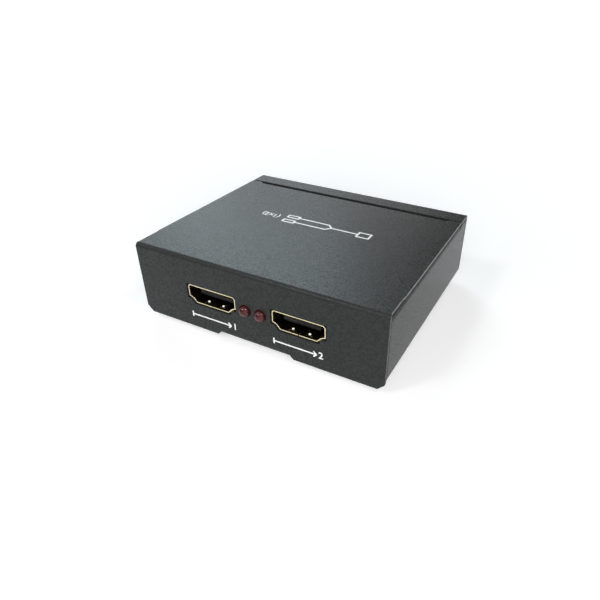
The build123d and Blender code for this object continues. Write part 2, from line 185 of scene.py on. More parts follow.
def joined(pieces, name):
    pickOnly(pieces[0])
    for piece in pieces:
        piece.select_set(True)
    bpy.ops.object.join()
    pieces[0].name = pieces[0].data.name = name
    return pieces[0]


def finished(piece, material, standsFor=()):  # its material and slot, and the nodes it stands for
    piece.data.materials.clear()
    piece.data.materials.append(material)
    if standsFor:
        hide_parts(*standsFor)
    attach(piece, "root")


# Camera

cameraLook = {
    "place": (0.06487, -0.113627, 0.08272),
    "turnDegrees": (56.871, -0.751, 27.276),
    "lens": 31.192,
    "sensor": 36,
    "shiftX": -0.056195,
    "shiftY": 0.006285,
    "nearest": 0.005,
    "farthest": 20,
}


def addCamera(look):
    deselectAll()
    turn = [math.radians(angle) for angle in look["turnDegrees"]]
    bpy.ops.object.camera_add(location=look["place"], rotation=turn)
    camera = bpy.context.object
    camera.name = "photoCamera"
    camera.data.lens = look["lens"]
    camera.data.sensor_width = look["sensor"]
    camera.data.shift_x = look["shiftX"]
    camera.data.shift_y = look["shiftY"]
    camera.data.clip_start = look["nearest"]
    camera.data.clip_end = look["farthest"]
    bpy.context.scene.camera = camera


addCamera(cameraLook)
bpy.context.scene.view_settings.view_transform = "Standard"
print("camera placed")


# Node helpers

def newMaterial(name):
    material = bpy.data.materials.new(name)
    material.use_nodes = True
    tree = material.node_tree
    tree.nodes.clear()
    output = tree.nodes.new("ShaderNodeOutputMaterial")
    shader = tree.nodes.new("ShaderNodeBsdfPrincipled")
    tree.links.new(shader.outputs["BSDF"], output.inputs["Surface"])
    return material, tree, shader


def feed(tree, socket, value):  # links another node's output, or sets a plain value
    if isinstance(value, bpy.types.NodeSocket):
        tree.links.new(value, socket)
    else:
        socket.default_value = value


def feedAll(tree, sockets, values):
    for name, value in values.items():
        feed(tree, sockets[name], value)


def addNode(tree, kind, settings=None, **values):  # values go to the sockets
    node = tree.nodes.new(kind)
    for name, value in (settings or {}).items():
        setattr(node, name, value)
    feedAll(tree, node.inputs, values)
    return node


def mathNode(tree, operation, first, second=0.5, third=0.5, clamp=False):
    node = addNode(tree, "ShaderNodeMath", {"operation": operation, "use_clamp": clamp})
    for socket, value in zip(node.inputs, (first, second, third)):
        feed(tree, socket, value)
    return node.outputs[0]


def mixColour(tree, factor, first, second):
    node = addNode(tree, "ShaderNodeMix", {"data_type": "RGBA"})
    for index, value in ((0, factor), (6, first), (7, second)):  # the sockets of a colour mix
        feed(tree, node.inputs[index], value)
    return node.outputs[2]


def spread(tree, value, fromLow, fromHigh, toLow=0.0, toHigh=1.0):  # value from one range to another
    node = addNode(tree, "ShaderNodeMapRange", Value=value)
    feedAll(tree, node.inputs, {"From Min": fromLow, "From Max": fromHigh, "To Min": toLow, "To Max": toHigh})
    return node.outputs["Result"]


def noise(tree, place, scale, detail, roughness=0.5, distortion=0.0):  # scale in waves per metre
    node = addNode(
        tree, "ShaderNodeTexNoise", Vector=place, Scale=scale, Detail=detail,
        Roughness=roughness, Distortion=distortion,
    )
    return node.outputs["Fac"]


def axisOf(tree, vector, axis):
    return addNode(tree, "ShaderNodeSeparateXYZ", Vector=vector).outputs[axis]


def addBump(tree, shader, strength, depth, height):
    bump = addNode(tree, "ShaderNodeBump", Strength=strength, Distance=depth, Height=height)
    tree.links.new(bump.outputs["Normal"], shader.inputs["Normal"])


def newGroup(name, inputs, outputs):  # a number makes a float socket, None or three numbers a vector
    group = bpy.data.node_groups.new(name, "ShaderNodeTree")
    for title, value in inputs.items():
        kind = "NodeSocketFloat" if isinstance(value, float) else "NodeSocketVector"
        socket = group.interface.new_socket(name=title, in_out="INPUT", socket_type=kind)
        if value is not None:
            socket.default_value = value
    for title in outputs:
        group.interface.new_socket(name=title, in_out="OUTPUT", socket_type="NodeSocketFloat")
    return group, group.nodes.new("NodeGroupInput").outputs, group.nodes.new("NodeGroupOutput").inputs


def placeGroup(tree, group, values):
    node = addNode(tree, "ShaderNodeGroup", {"node_tree": group})
    feedAll(tree, node.inputs, values)
    return node.outputs


def objectPlace(tree):
    return tree.nodes.new("ShaderNodeTexCoord").outputs["Object"]


def backdropRays(tree):  # 1 for camera, glossy and transmission rays, which show the background
    path = tree.nodes.new("ShaderNodeLightPath")
    seen = mathNode(tree, "MAXIMUM", path.outputs["Is Camera Ray"], path.outputs["Is Glossy Ray"])
    return mathNode(tree, "MAXIMUM", seen, path.outputs["Is Transmission Ray"])


# Shared effects

grainLook = {  # each scale is a multiple of the grain's own
    "peelRoughness": 0.55,
    "cellScale": 0.8,
    "cellSmoothness": 0.6,
    "cellDepth": -0.5,
    "speckScale": 1.7,
    "speckRange": (0.5, 0.75),
    "cloudScale": 0.04,
    "glossScale": 0.55,
}


def makeCoatGrain(look):  # orange peel of a sprayed or baked coat, its pale specks, clouds and gloss
    group, given, out = newGroup(
        "coatGrain", {"Place": None, "Grain Size": 0.3 * mm, "Specks": 0.5},
        ["Height", "Speck Mask", "Cloud", "Gloss"],
    )
    place = given["Place"]
    scale = mathNode(group, "DIVIDE", 1.0, given["Grain Size"])
    peel = noise(group, place, scale, detail=2.0, roughness=look["peelRoughness"])

    def scaled(title):
        return mathNode(group, "MULTIPLY", scale, look[title])

    cells = addNode(
        group, "ShaderNodeTexVoronoi", {"feature": "SMOOTH_F1"}, Vector=place,
        Scale=scaled("cellScale"), Smoothness=look["cellSmoothness"],
    )
    fine = noise(group, place, scaled("speckScale"), detail=3.0, roughness=0.7)
    feedAll(group, out, {
        "Height": mathNode(group, "MULTIPLY_ADD", cells.outputs["Distance"], look["cellDepth"], peel),
        "Speck Mask": spread(group, fine, *look["speckRange"], 0.0, given["Specks"]),
        "Cloud": noise(group, place, scaled("cloudScale"), detail=2.0),
        "Gloss": noise(group, place, scaled("glossScale"), detail=1.0),
    })
    return group


rubLook = {
    "bendRange": (0.52, 0.62),  # how pointed an edge is where rubbing starts, and where it is full
    "patchRange": (0.4, 0.65),
}


def makeEdgeRub(look):  # where handling has polished or worn the corners
    group, given, out = newGroup("edgeRub", {"Place": None, "Patch Size": 2 * mm, "Amount": 0.5}, ["Mask"])
    bend = group.nodes.new("ShaderNodeNewGeometry").outputs["Pointiness"]
    scale = mathNode(group, "DIVIDE", 1.0, given["Patch Size"])
    patches = noise(group, given["Place"], scale, detail=4.0, roughness=0.7)
    sharp = spread(group, bend, *look["bendRange"])
    worn = mathNode(group, "MULTIPLY", sharp, spread(group, patches, *look["patchRange"]))
    feed(group, out["Mask"], mathNode(group, "MULTIPLY", worn, given["Amount"], clamp=True))
    return group


dustAndSheenLook = {
    "facing": (0.3, 1.0),  # how far up a face looks where dust starts, and where it is full
    "driftScale": 90.0,
    "driftRange": (0.35, 0.75, 0.2),  # the least and most noise, and what is left at the least
    "moteScale": 4200.0,
    "moteRange": (0.45, 0.7, 0.3),
}


def makeDustAndTopSheen(look):  # thin settled dust on what faces up; on the connector tongues it also serves as a painted highlight on the upper chamfer
    group, given, out = newGroup("dustAndTopSheen", {"Place": None, "Amount": 0.1}, ["Mask"])
    normal = group.nodes.new("ShaderNodeNewGeometry").outputs["Normal"]
    facing = spread(group, axisOf(group, normal, "Z"), *look["facing"])
    drift = noise(group, given["Place"], look["driftScale"], detail=5.0, roughness=0.65)
    motes = noise(group, given["Place"], look["moteScale"], detail=1.0)
    drift, motes = spread(group, drift, *look["driftRange"]), spread(group, motes, *look["moteRange"])
    settled = mathNode(group, "MULTIPLY", facing, mathNode(group, "MULTIPLY", drift, motes))
    feed(group, out["Mask"], mathNode(group, "MULTIPLY", settled, given["Amount"], clamp=True))
    return group


tarnishScale = 350.0


def makeDrawnLines():  # fine lines of drawn, rolled or turned metal along one direction
    group, given, out = newGroup(
        "drawnLines", {"Place": None, "Stretch": (1.0, 0.05, 1.0), "Line Width": 0.05 * mm},
        ["Lines", "Tarnish"],
    )
    squeezed = addNode(group, "ShaderNodeVectorMath", {"operation": "MULTIPLY"})
    feed(group, squeezed.inputs[0], given["Place"])
    feed(group, squeezed.inputs[1], given["Stretch"])
    scale = mathNode(group, "DIVIDE", 1.0, given["Line Width"])
    feedAll(group, out, {
        "Lines": noise(group, squeezed.outputs[0], scale, detail=3.0, roughness=0.6),
        "Tarnish": noise(group, given["Place"], tarnishScale, detail=4.0, roughness=0.6),
    })
    return group


coatGrain = makeCoatGrain(grainLook)
edgeRub = makeEdgeRub(rubLook)
dustAndTopSheen = makeDustAndTopSheen(dustAndSheenLook)
drawnLines = makeDrawnLines()
print("shared effects made")


# Case paint: fine textured powder coat on both sheets

paintLook = {
    "base": (0.0165, 0.0182, 0.0178, 1),
    "speck": (0.045, 0.05, 0.05, 1),
    "specks": 0.5,
    "dust": (0.22, 0.22, 0.2, 1),
    "dustAmount": 0.04,
    "dustDulls": 0.3,
    "roughness": 0.29,
    "roughnessChange": 0.2,
    "roughnessRange": (0.36, 0.64),
    "specular": 0.1,
    "sparkle": 0.28,
    "sparkleRange": (0.42, 0.68),
    "sparkleRoughness": 0.26,
    "grainSize": 0.25 * mm,
    "bumpDepth": 0.045 * mm,
    "cloud": 0.04,
    "cloudRange": (0.35, 0.65),
}


def makeCasePaint(look):
    material, tree, shader = newMaterial("casePaint")
    place = objectPlace(tree)
    grain = placeGroup(
        tree, coatGrain, {"Place": place, "Grain Size": look["grainSize"], "Specks": look["specks"]}
    )
    dust = placeGroup(tree, dustAndTopSheen, {"Place": place, "Amount": look["dustAmount"]})["Mask"]
    colour = mixColour(tree, grain["Speck Mask"], look["base"], look["speck"])
    cloud = spread(tree, grain["Cloud"], *look["cloudRange"], 0.0, look["cloud"])
    colour = mixColour(tree, cloud, colour, look["speck"])
    half = look["roughnessChange"] / 2
    glossy, matt = look["roughness"] - half, look["roughness"] + half
    rough = spread(tree, grain["Gloss"], *look["roughnessRange"], glossy, matt)
    feedAll(tree, shader.inputs, {
        "Base Color": mixColour(tree, dust, colour, look["dust"]),
        "Roughness": mathNode(tree, "MULTIPLY_ADD", dust, look["dustDulls"], rough),
        "Coat Weight": spread(tree, grain["Gloss"], *look["sparkleRange"], 0.0, look["sparkle"]),
        "Coat Roughness": look["sparkleRoughness"],
        "Specular IOR Level": look["specular"],
    })
    addBump(tree, shader, 1.0, look["bumpDepth"], grain["Height"])
    return material


casePaint = makeCasePaint(paintLook)

# colours of the top plate's side edges: the upper band is lighter than the case paint, partly thin paint and
# unpainted spots, partly a painted highlight; the lower band is a painted shadow
cutEdgeLook = {
    "base": (0.1, 0.104, 0.1, 1),
    "bareAndHighlight": (0.3, 0.3, 0.29, 1),
    "bareAndHighlightAmount": 0.5,
    "bareScale": 700.0,
    "bareRange": (0.45, 0.75),
    # painted shadow: the near-black lower band, where the gap under the plate's edge lies
    "paintedShadow": (0.006, 0.006, 0.006, 1),
    "paintedShadowRoughness": 0.95,
    "bright": 0.5 * mm,
    "fade": 0.12 * mm,
    "roughness": (0.38, 0.24),  # in the grain's hollows, and on its peaks
    "specular": 0.35,
    "grainSize": 0.2 * mm,
    "bumpDepth": 0.01 * mm,
}


def makeCutEdge(look):  # the sheet's cut edge under thin paint with unpainted spots, lighter above, partly as a painted highlight, and near black below as a painted shadow of the gap under the plate
    material, tree, shader = newMaterial("cutEdge")
    place = objectPlace(tree)
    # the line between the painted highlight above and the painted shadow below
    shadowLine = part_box("cover")[1].z - look["bright"]
    grain = placeGroup(tree, coatGrain, {"Place": place, "Grain Size": look["grainSize"]})
    thin = noise(tree, place, look["bareScale"], detail=3.0)
    ragged = mathNode(tree, "MULTIPLY_ADD", thin, look["fade"], axisOf(tree, place, "Z"))
    # mask: 1 on the painted highlight band above, 0 on the painted shadow below
    litBand = spread(tree, ragged, shadowLine - look["fade"] / 2, shadowLine + look["fade"])
    bareAndHighlight = spread(tree, thin, *look["bareRange"], 0.0, look["bareAndHighlightAmount"])
    edgeAndHighlight = mixColour(tree, bareAndHighlight, look["base"], look["bareAndHighlight"])
    fine = spread(tree, grain["Height"], 0.2, 0.6, *look["roughness"])
    below = spread(tree, litBand, 0.0, 1.0, look["paintedShadowRoughness"], 0.0)
    feedAll(tree, shader.inputs, {
        "Base Color": mixColour(tree, litBand, look["paintedShadow"], edgeAndHighlight),
        "Roughness": mathNode(tree, "MAXIMUM", fine, below),
        "Specular IOR Level": look["specular"],
    })
    addBump(tree, shader, 0.5, look["bumpDepth"], grain["Height"])
    return material


cutEdge = makeCutEdge(cutEdgeLook)


# Plated and bare metals

metalWear = {
    "tarnish": 0.7,
    "tarnishRange": (0.45, 0.75),
    "tarnishDulls": 0.5,
    "linesRoughness": (0.8, 1.25),  # multiples of a metal's own roughness, along the drawn lines
    "rubbedLighter": 1.15,
    "rubbedPatch": 0.6 * mm,
    "rubbedAmount": 0.3,
    "bumpDepth": 0.002 * mm,
}
metalLooks = {  # clean tone, tarnished tone, roughness, line width, stretch of the lines, how metallic
    "shellGold": ((0.86, 0.77, 0.52, 1), (0.66, 0.56, 0.33, 1), 0.2, 0.05 * mm, (1, 0.06, 1), 1),
    # painted shade: a darker copy of the shell gold for the inner walls, not a tarnish
    "shellInsidePaintedShade": ((0.07, 0.06, 0.035, 1), (0.04, 0.033, 0.02, 1), 0.34, 0.05 * mm, (1, 0.06, 1), 1),
    # painted highlight: a pale, barely metallic copy of the gold for the dimples
    "dimplePaintedHighlight": ((0.97, 0.95, 0.78, 1), (0.92, 0.89, 0.68, 1), 0.24, 0.05 * mm, (1, 0.06, 1), 0.15),
    "contactGold": ((0.88, 0.68, 0.32, 1), (0.7, 0.5, 0.2, 1), 0.16, 0.03 * mm, (1, 0.1, 1), 1),
    "screwSteel": ((0.56, 0.56, 0.55, 1), (0.34, 0.33, 0.3, 1), 0.3, 0.06 * mm, (1, 1, 0.1), 1),
    "platedSteel": ((0.7, 0.7, 0.68, 1), (0.5, 0.49, 0.46, 1), 0.24, 0.04 * mm, (1, 0.1, 1), 1),
    "standoffBrass": ((0.72, 0.56, 0.28, 1), (0.45, 0.32, 0.14, 1), 0.28, 0.08 * mm, (0.1, 0.1, 1), 1),
    "canAluminium": ((0.76, 0.76, 0.77, 1), (0.58, 0.58, 0.58, 1), 0.32, 0.05 * mm, (1, 1, 0.06), 1),
}


def makeMetal(name, clean, tarnished, roughness, lineWidth, stretch, metallic):
    material, tree, shader = newMaterial(name)
    place = objectPlace(tree)
    drawn = placeGroup(tree, drawnLines, {"Place": place, "Stretch": stretch, "Line Width": lineWidth})
    rub = placeGroup(
        tree, edgeRub,
        {"Place": place, "Patch Size": metalWear["rubbedPatch"], "Amount": metalWear["rubbedAmount"]},
    )
    tarnish = spread(tree, drawn["Tarnish"], *metalWear["tarnishRange"], 0.0, metalWear["tarnish"])
    toned = mixColour(tree, tarnish, clean, tarnished)
    lighter = tuple(min(1, value * metalWear["rubbedLighter"]) for value in clean[:3]) + (1,)
    smoothest, roughest = (roughness * share for share in metalWear["linesRoughness"])
    rough = spread(tree, drawn["Lines"], 0.3, 0.7, smoothest, roughest)
    dull = spread(tree, drawn["Tarnish"], 0.4, 0.8)
    feedAll(tree, shader.inputs, {
        "Base Color": mixColour(tree, rub["Mask"], toned, lighter),
        "Metallic": metallic,
        "Roughness": mathNode(tree, "MULTIPLY_ADD", dull, roughness * metalWear["tarnishDulls"], rough),
    })
    addBump(tree, shader, 0.5, metalWear["bumpDepth"], drawn["Lines"])
    return material


metals = {name: makeMetal(name, *look) for name, look in metalLooks.items()}
print("paint and metals made")


# Mouldings and rubber

mouldingWear = {
    "specks": 0.25,
    "rubbedPatch": 1.0 * mm,
    "rubbedAmount": 0.4,
    "rubbedPolish": -0.1,
    "roughnessChange": (-0.06, 0.08),
    "dust": (0.3, 0.29, 0.27, 1),
}
mouldingLooks = {  # base, pale, roughness, grain size, bump depth, specular, dust (on the tongue mostly a painted highlight)
    "blackMoulding": ((0.01, 0.01, 0.01, 1), (0.03, 0.03, 0.03, 1), 0.38, 0.12 * mm, 0.006 * mm, 0.4, 0.05),
    # the tongue: a darker copy of the black moulding as painted shade inside the port, its large dust share a
    # painted highlight on the upper chamfer
    "tongueMouldingShadeAndSheen": (
        (0.003, 0.003, 0.003, 1), (0.01, 0.01, 0.01, 1), 0.42, 0.1 * mm, 0.004 * mm, 0.15, 0.3
    ),
    "footRubber": ((0.02, 0.02, 0.02, 1), (0.05, 0.05, 0.05, 1), 0.8, 0.2 * mm, 0.02 * mm, 0.3, 0.15),
    "chipBlack": ((0.02, 0.02, 0.022, 1), (0.05, 0.05, 0.052, 1), 0.55, 0.1 * mm, 0.008 * mm, 0.5, 0.05),
}


def makeMoulding(name, base, pale, roughness, grainSize, bumpDepth, specular, dustAmount):
    material, tree, shader = newMaterial(name)
    place = objectPlace(tree)
    grain = placeGroup(
        tree, coatGrain, {"Place": place, "Grain Size": grainSize, "Specks": mouldingWear["specks"]}
    )
    rub = placeGroup(
        tree, edgeRub,
        {"Place": place, "Patch Size": mouldingWear["rubbedPatch"], "Amount": mouldingWear["rubbedAmount"]},
    )
    dust = placeGroup(tree, dustAndTopSheen, {"Place": place, "Amount": dustAmount})
    colour = mixColour(tree, grain["Speck Mask"], base, pale)
    colour = mixColour(tree, rub["Mask"], colour, pale)
    smoothest, roughest = (roughness + change for change in mouldingWear["roughnessChange"])
    rough = spread(tree, grain["Cloud"], 0.3, 0.7, smoothest, roughest)
    feedAll(tree, shader.inputs, {
        "Base Color": mixColour(tree, dust["Mask"], colour, mouldingWear["dust"]),
        "Roughness": mathNode(tree, "MULTIPLY_ADD", rub["Mask"], mouldingWear["rubbedPolish"], rough),
        "Specular IOR Level": specular,
    })
    addBump(tree, shader, 0.5, bumpDepth, grain["Height"])
    return material


mouldings = {name: makeMoulding(name, *look) for name, look in mouldingLooks.items()}


# Circuit board

boardLook = {
    "mask": (0.012, 0.085, 0.035, 1),
    "track": (0.03, 0.17, 0.07, 1),
    "dark": (0.006, 0.05, 0.022, 1),
    "edge": (0.32, 0.27, 0.13, 1),
    "trackPitch": 1.3 * mm,
    "trackGap": 0.12 * mm,
    "bumpDepth": 0.03 * mm,
    # painted shade: the board is near black under the ports, so none of it shows lit through their mouths
    "shadeUnderPorts": (0.004, 0.006, 0.004, 1),
    "shadeUnderPortsFrom": 17.0 * mm,
    "shadeUnderPortsFade": 0.3 * mm,
    "shadeUnderPortsDulls": 0.45,
    "mottleScale": 400.0,
    "mottleRange": (0.4, 0.7),
    "mottleAmount": 0.5,
    "roughness": (0.22, 0.4),
}


def makeBoardLaminate(look):  # green mask over copper tracks, bare glass and resin at the edges
    material, tree, shader = newMaterial("boardLaminate")
    place = objectPlace(tree)
    normal = tree.nodes.new("ShaderNodeNewGeometry").outputs["Normal"]
    up = mathNode(tree, "ABSOLUTE", axisOf(tree, normal, "Z"))
    tracks = addNode(
        tree, "ShaderNodeTexBrick", {"offset": 0.5, "squash": 1.6, "squash_frequency": 3},
        Vector=place, Scale=1.0, Color1=(1, 1, 1, 1), Color2=(0, 0, 0, 1), Mortar=(0.5, 0.5, 0.5, 1),
    )
    feedAll(tree, tracks.inputs, {
        "Mortar Size": look["trackGap"],
        "Brick Width": look["trackPitch"] * 3,
        "Row Height": look["trackPitch"],
    })
    lines = tracks.outputs["Fac"]
    mottle = noise(tree, place, look["mottleScale"], detail=3.0)
    green = mixColour(tree, lines, look["mask"], look["track"])
    darker = spread(tree, mottle, *look["mottleRange"], 0.0, look["mottleAmount"])
    green = mixColour(tree, darker, green, look["dark"])
    # painted shade beyond 17 mm from the middle, under the ports at front and rear
    along = mathNode(tree, "ABSOLUTE", axisOf(tree, place, "Y"))
    shadeUnderPorts = spread(tree, along, look["shadeUnderPortsFrom"], look["shadeUnderPortsFrom"] + look["shadeUnderPortsFade"])
    green = mixColour(tree, shadeUnderPorts, green, look["shadeUnderPorts"])
    rough = spread(tree, mottle, 0.3, 0.7, *look["roughness"])
    feedAll(tree, shader.inputs, {
        "Base Color": mixColour(tree, spread(tree, up, 0.5, 0.9), look["edge"], green),
        "Roughness": mathNode(tree, "MULTIPLY_ADD", shadeUnderPorts, look["shadeUnderPortsDulls"], rough),
    })
    addBump(tree, shader, 0.6, look["bumpDepth"], lines)
    return material


boardLaminate = makeBoardLaminate(boardLook)


# Lamp lenses and printing ink

lensLook = {
    "deep": (0.05, 0.003, 0.005, 1),
    "pale": (0.085, 0.006, 0.009, 1),
    "roughness": (0.01, 0.08),
    "transmission": 0.35,
    "refraction": 1.5,
    "swirlScale": 500.0,
    "swirlBend": 0.8,
    "bumpScale": 2500.0,
    "bumpDepth": 0.002 * mm,
}


def makeLampRed(look):  # tinted lens, a little cloudy, with moulding swirls
    material, tree, shader = newMaterial("lampRed")
    place = objectPlace(tree)
    swirl = noise(tree, place, look["swirlScale"], detail=3.0, distortion=look["swirlBend"])
    feedAll(tree, shader.inputs, {
        "Base Color": mixColour(tree, spread(tree, swirl, 0.35, 0.7), look["deep"], look["pale"]),
        "Roughness": spread(tree, swirl, 0.3, 0.7, *look["roughness"]),
        "Transmission Weight": look["transmission"],
        "IOR": look["refraction"],
    })
    fine = noise(tree, place, look["bumpScale"], detail=2.0)
    addBump(tree, shader, 0.2, look["bumpDepth"], fine)
    return material


inkFilm = {"screenScale": 6000.0, "roughness": (0.45, 0.65), "bumpDepth": 0.01 * mm}
inkLooks = {  # thick ink, thin ink
    "portInk": ((0.7, 0.7, 0.69, 1), (0.54, 0.54, 0.54, 1)),
    "topInk": ((0.96, 0.96, 0.95, 1), (0.84, 0.84, 0.84, 1)),
}


def makeInk(name, thick, thin):  # screen print, slightly uneven
    material, tree, shader = newMaterial(name)
    screen = noise(tree, objectPlace(tree), inkFilm["screenScale"], detail=2.0)
    feedAll(tree, shader.inputs, {
        "Base Color": mixColour(tree, spread(tree, screen, 0.35, 0.7), thick, thin),
        "Roughness": spread(tree, screen, 0.3, 0.7, *inkFilm["roughness"]),
    })
    addBump(tree, shader, 0.4, inkFilm["bumpDepth"], screen)
    return material


lampRed = makeLampRed(lensLook)
inks = {name: makeInk(name, *look) for name, look in inkLooks.items()}
print("mouldings, board, lamp and ink made")

slotMaterials = {
    "case_paint": casePaint,
    "foot_rubber": mouldings["footRubber"],
    "screw_steel": metals["screwSteel"],
    "standoff_brass": metals["standoffBrass"],
    "board_laminate": boardLaminate,
    "shell_gold": metals["shellGold"],
    "black_moulding": mouldings["blackMoulding"],
    "contact_gold": metals["contactGold"],
    "plated_steel": metals["platedSteel"],
    "lamp_red": lampRed,
    "chip_black": mouldings["chipBlack"],
    "can_aluminium": metals["canAluminium"],
}
for entry in frame["record"]["subparts"]:
    nodeMesh = nodes[entry["node"]].data
    nodeMesh.materials.clear()
    nodeMesh.materials.append(slotMaterials[entry["material_slot"]])
# the tongues get the moulding with painted shade and a painted highlight
for nodeName in ("out_port_1_insulator", "out_port_2_insulator", "in_port_insulator"):
    nodes[nodeName].data.materials[0] = mouldings["tongueMouldingShadeAndSheen"]
print("nodes finished in their own materials")


# Case: both folded sheets with deburred edges

sheetLook = {
    "seamAside": 31.0 * mm,
    "seamAlong": 24.45 * mm,
    "seamReach": 0.1 * mm,
    "seamWider": 0.3 * mm,
    "edgeFrom": -27.5 * mm,
    "edgeTo": 24.6 * mm,
    "edgeReach": 0.35 * mm,
    "edgeDrop": 1.05 * mm,
    "edgeRound": 0.09 * mm,
    "segments": 3,
    "staySharp": {  # tight corners between the sheets, in mm at both sides: across, along and up
        "cover": [
            ((35.25, 35.55), (-28.45, -28.15), (20.6, 21.0)),
            ((31.0, 35.6), (24.1, 24.6), (20.8, 22.0)),
        ],
        "base_tray": [
            ((33.8, 34.2), (29.5, 31.0), (2.0, 22.0)),
            ((31.0, 35.6), (24.5, 24.8), (19.3, 22.0)),
            ((35.2, 35.6), (29.6, 30.0), (20.2, 21.0)),
        ],
    },
}


def widenSeam(piece, look):  # both ends of the seam at the rear, as wide as the paint leaves them
    def isEnd(centre, normal):
        near = abs(centre.y - look["seamAlong"]) < look["seamReach"]
        return near and normal.y > 0.9 and abs(centre.x) > look["seamAside"]

    editFaces(piece, isEnd)
    bpy.ops.transform.translate(value=(0, -look["seamWider"], 0))
    endEdit()


def paintCutEdge(piece, look):  # the top plate's side edges, and their rounding, with the painted highlight and painted shadow of the cut edge material
    piece.data.materials.append(cutEdge)
    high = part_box("cover")[1]
    for face in piece.data.polygons:
        aside = abs(face.normal.x) > 0.35 and abs(face.center.x) > high.x - look["edgeReach"]
        along = look["edgeFrom"] < face.center.y < look["edgeTo"]
        if aside and along and face.center.z > high.z - look["edgeDrop"]:
            face.material_index = 1


def dressSheet(nodeName, pieceName, look):
    def isFree(middle):
        spot = (abs(middle.x) / mm, middle.y / mm, middle.z / mm)
        boxes = look["staySharp"][nodeName]
        return not any(all(low < value < high for value, (low, high) in zip(spot, box)) for box in boxes)

    piece = cleanCopy(nodeName, pieceName)
    if nodeName == "cover":
        widenSeam(piece, look)
    roundEdges(piece, look["edgeRound"], look["segments"], isFree)
    smoothShade(piece)
    finished(piece, casePaint, [nodeName])
    if nodeName == "cover":
        paintCutEdge(piece, look)


dressSheet("cover", "coverSkin", sheetLook)
dressSheet("base_tray", "traySkin", sheetLook)
print("case sheets dressed")


# Receptacles: rolled shells with round contact dimples on the spring fingers

shellLook = {
    "edgeRound": 0.08 * mm,
    "sideWall": 0.36 * mm,
    "rimDepth": 0.35 * mm,
    "openingHeight": 4.55 * mm,
    "fingerOffset": 2.3 * mm,
    "dimpleBehindMouth": 1.55 * mm,
    "dimpleRadius": 0.36 * mm,
    "dimpleHeight": 0.3 * mm,
    "dimpleTip": 0.05 * mm,
    "dimpleSink": 0.02 * mm,
    "dimpleSteps": 5,
    "ridgeHalfWidth": 0.47 * mm,
    "ridgeHalfLength": 0.62 * mm,
    "ridgeFlush": 0.005 * mm,
}
portShells = {"out_port_1": "outPort1Shell", "out_port_2": "outPort2Shell", "in_port": "inPortShell"}


def makeDimple(look):  # one pressed dimple, its flat side on Z = 0
    height, radius = look["dimpleHeight"], look["dimpleRadius"]
    sphere = (radius * radius + height * height) / (2 * height)
    profile = [(-look["dimpleSink"], radius)]
    for step in range(look["dimpleSteps"]):
        level = height * step / look["dimpleSteps"]
        away = sphere - height + level
        profile.append((level, math.sqrt(sphere * sphere - away * away)))
    profile.append((height, look["dimpleTip"]))
    piece = turned("dimple", profile, vertices=20)
    # the pale dimple colour is a painted highlight
    piece.data.materials.append(metals["dimplePaintedHighlight"])
    return piece


def closeOpening(piece, spot, reach):  # one face over the open edges around a spot
    editEdges(piece, lambda middle, normals: len(normals) == 1 and (middle - spot).length < reach)
    bpy.ops.mesh.edge_face_add()
    endOutwards()


def cutRidges(piece, look, mouth, wall, middle):  # the plain ridges where the dimples go
    def isRidge(centre, normal):
        depth = abs(centre.z - mouth.z) - wall
        under = abs(depth) < look["ridgeFlush"] and normal.z * (centre.z - mouth.z) > 0
        across = abs(abs(centre.x - mouth.x) - look["fingerOffset"]) < look["ridgeHalfWidth"]
        inside = depth < -look["ridgeFlush"] or under
        return inside and across and abs(centre.y - middle) < look["ridgeHalfLength"]

    editFaces(piece, isRidge)
    bpy.ops.mesh.delete(type="FACE")
    endEdit()


def paintShadeInside(piece, look, mouth, wall, outwards, half):  # painted shade: the inner walls behind the rim get a darker copy of the gold
    piece.data.materials.append(metals["shellInsidePaintedShade"])
    back = mouth.y - outwards * look["rimDepth"]
    for face in piece.data.polygons:
        aside, up = face.center.x - mouth.x, face.center.z - mouth.z
        inward = face.normal.x * aside + face.normal.z * up < 0
        inner = abs(aside) < half - look["sideWall"] and abs(up) < wall + look["edgeRound"]
        face.material_index = 1 if inward and inner and outwards * (back - face.center.y) > 0 else 0


def dressShell(nodeName, pieceName, look, mouth, outwards):
    piece = cleanCopy(nodeName, pieceName)
    wall = look["openingHeight"] / 2
    middle = mouth.y - outwards * look["dimpleBehindMouth"]
    cutRidges(piece, look, mouth, wall, middle)
    spots = []
    for side in (-1, 1):
        for up in (-1, 1):
            spots.append(Vector((mouth.x + side * look["fingerOffset"], middle, mouth.z + up * wall)))
    for spot in spots:
        closeOpening(piece, spot, look["ridgeHalfLength"] + look["ridgeHalfWidth"])
    roundEdges(piece, look["edgeRound"])
    dimples = []
    for spot in spots:
        turn = math.pi if spot.z > mouth.z else 0
        dimples.append(placed(copied(dimpleStart, "dimple"), spot, (turn, 0, 0)))
    smoothShade(piece)
    finished(piece, metals["shellGold"], [nodeName])
    low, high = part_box(nodeName)
    # painted shade on the inner walls behind the rim
    paintShadeInside(piece, look, mouth, wall, outwards, (high.x - low.x) / 2)
    joined([piece] + dimples, pieceName)


dimpleStart = makeDimple(shellLook)
mounts = {mount["name"]: mount for mount in frame["record"]["mounts"]}
for portName, pieceName in portShells.items():
    mount = mounts[portName + "_socket"]
    dressShell(portName + "_shell", pieceName, shellLook, Vector(mount["pos_m"]), mount["axis"][1])
bpy.data.objects.remove(dimpleStart)
print("receptacle shells dressed")


# Lamps: domed lens with its wire frame inside

